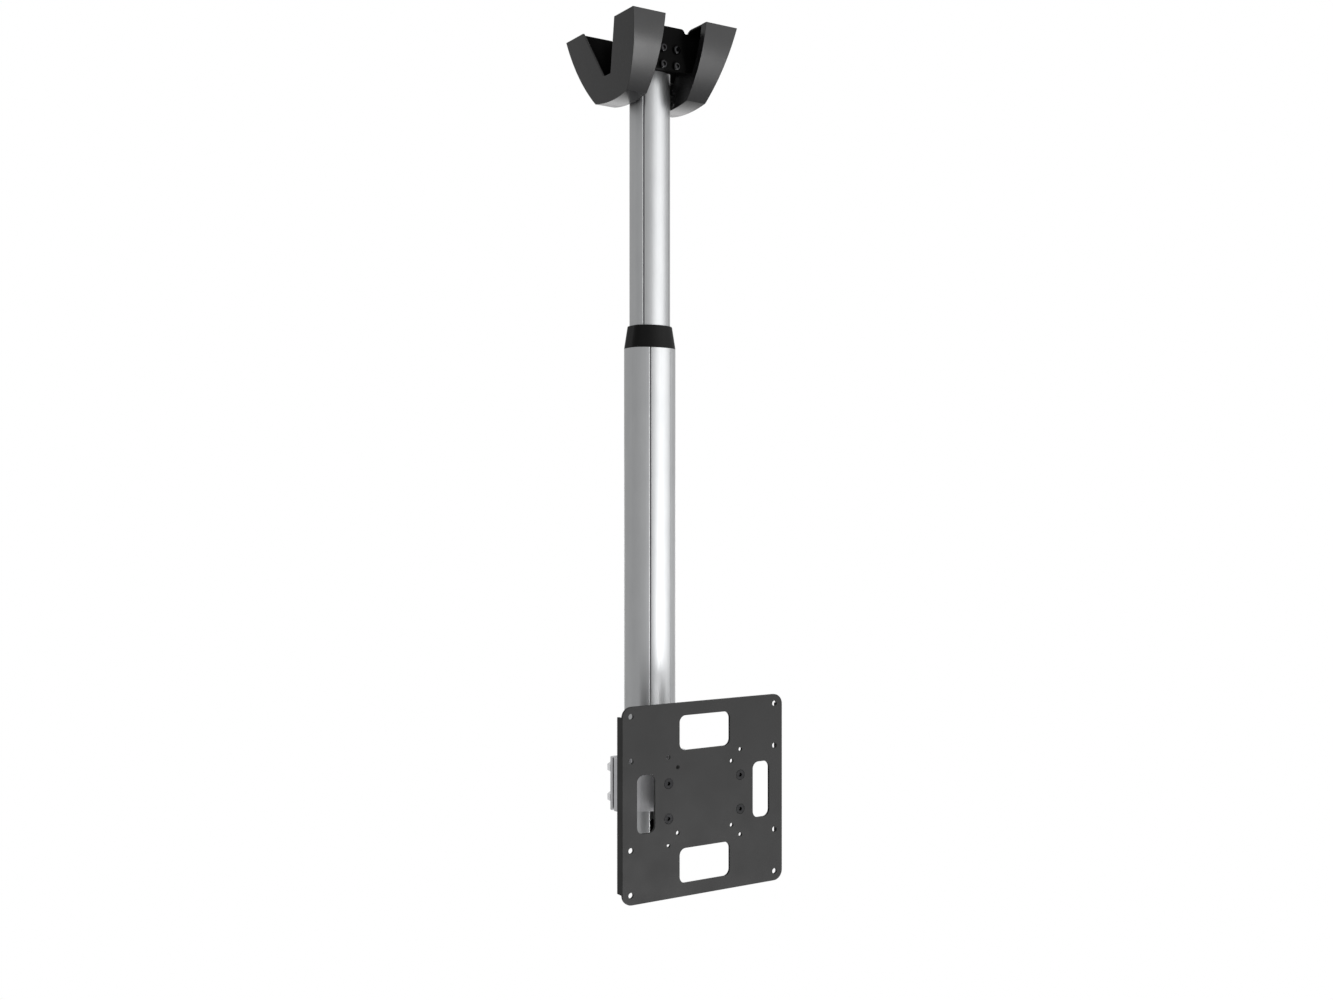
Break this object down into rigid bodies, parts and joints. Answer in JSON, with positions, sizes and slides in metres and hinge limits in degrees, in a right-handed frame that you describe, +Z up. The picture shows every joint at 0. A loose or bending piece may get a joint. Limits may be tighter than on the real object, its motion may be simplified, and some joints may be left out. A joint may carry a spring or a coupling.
{
  "type": "tv ceiling mount",
  "caption": "Telescoping ceiling mount for a flat display: V-shaped covers over a folded bracket, a sliding column with cable covers, and a plate that swivels and tilts.",
  "frame": {"origin": "on the ceiling plane, at the middle of the ceiling bracket's web, above the column's axis", "axes": "+Z up to the ceiling, the display plate faces -Y, X across the display"},
  "size_m": [0.222, 0.1999, 1.023],
  "materials": {
    "black_steel": "satin",
    "cover_plastic": "satin",
    "cast_aluminium": "cast",
    "satin_aluminium": "satin",
    "black_plastic": "matte",
    "dark_bolts": "black oxide",
    "plated_steel": "zinc plated"
  },
  "bodies": {
    "ceiling_part": {"ceiling_bracket": "black_steel", "left_cover": "cover_plastic", "right_cover": "cover_plastic", "column_head": "black_steel", "head_bolts": "dark_bolts", "upper_tube": "satin_aluminium", "upper_cable_cover": "satin_aluminium", "tube_screws": "plated_steel", "glide_shoe": "black_plastic", "glide_screws": "plated_steel"},
    "lower_column": {"lower_tube": "satin_aluminium", "lower_cable_cover": "satin_aluminium", "collar": "black_plastic", "lock_block": "cast_aluminium", "lock_screws": "plated_steel", "lock_rivets": "plated_steel", "lock_pad": "black_plastic", "end_cap": "black_plastic", "front_clamp": "cast_aluminium", "back_clamp": "cast_aluminium", "clamp_bolts": "plated_steel", "clamp_nuts": "plated_steel"},
    "swivel_head": {"swivel_yoke": "black_steel", "swivel_washers": "black_plastic", "swivel_pin": "plated_steel", "swivel_nut": "plated_steel", "tilt_bolt": "plated_steel", "tilt_nut": "plated_steel", "tilt_washers": "black_plastic"},
    "display_carrier": {"tilt_bracket": "black_steel", "plate_screws": "plated_steel", "display_plate": "black_steel"}
  },
  "joints": [
    {"name": "height", "type": "slide", "parent": "ceiling_part", "child": "lower_column", "axis": [0, 0, 1], "range_m": [-0.12, 0.25]},
    {"name": "swivel", "type": "hinge", "parent": "lower_column", "child": "swivel_head", "pos_m": [0, -0.0497, -0.912], "axis": [0, 0, 1], "range_deg": [-45, 45]},
    {"name": "tilt", "type": "hinge", "parent": "swivel_head", "child": "display_carrier", "pos_m": [0, -0.0927, -0.912], "axis": [1, 0, 0], "range_deg": [-5, 20]}
  ]
}
